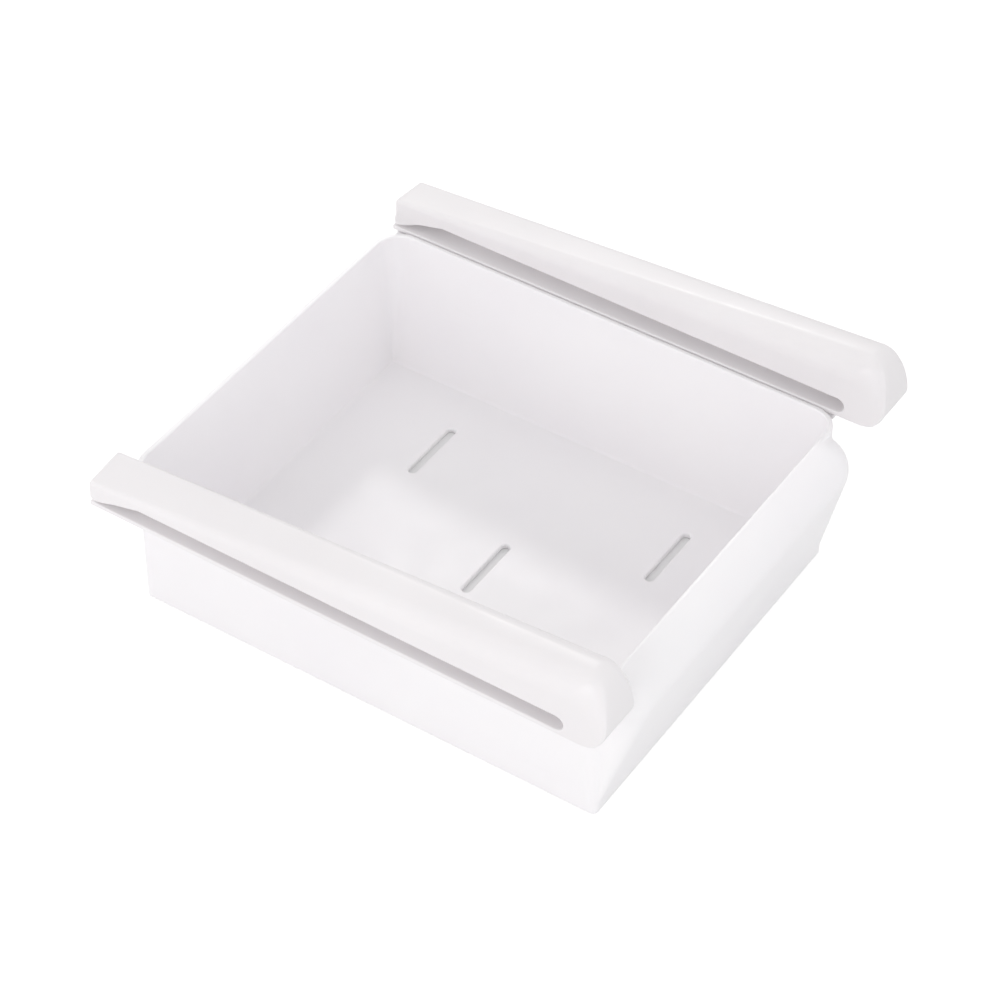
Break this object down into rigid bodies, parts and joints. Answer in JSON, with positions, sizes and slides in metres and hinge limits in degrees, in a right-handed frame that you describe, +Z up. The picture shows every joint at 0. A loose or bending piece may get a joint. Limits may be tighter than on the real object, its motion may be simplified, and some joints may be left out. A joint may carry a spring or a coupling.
{
  "type": "fridge drawer organizer",
  "caption": "Open storage drawer that hangs under a fridge shelf on clip rails and pulls out forwards, with a rolled front pull and slots in its floor.",
  "frame": {"origin": "on the table under the middle of the overall box, drawer closed", "axes": "+X towards the drawer's front pull, +Y to the side of the right clip rail, +Z up"},
  "size_m": [0.167, 0.162, 0.0719],
  "materials": {
    "tray_plastic": "satin moulded polystyrene, white",
    "rail_plastic": "satin moulded plastic, white"
  },
  "bodies": {
    "tray": {"tray": "tray_plastic"},
    "left_rail": {"left_clip_rail": "rail_plastic"},
    "right_rail": {"right_clip_rail": "rail_plastic"}
  },
  "joints": [
    {"name": "right_rail_slide", "type": "slide", "parent": "tray", "child": "right_rail", "axis": [-1, 0, 0], "range_m": [0, 0.11]},
    {"name": "left_rail_slide", "type": "slide", "parent": "tray", "child": "left_rail", "axis": [-1, 0, 0], "range_m": [0, 0.11]}
  ],
  "couplings": [
    {"joint": "left_rail_slide", "follows": "right_rail_slide", "ratio": 1}
  ]
}
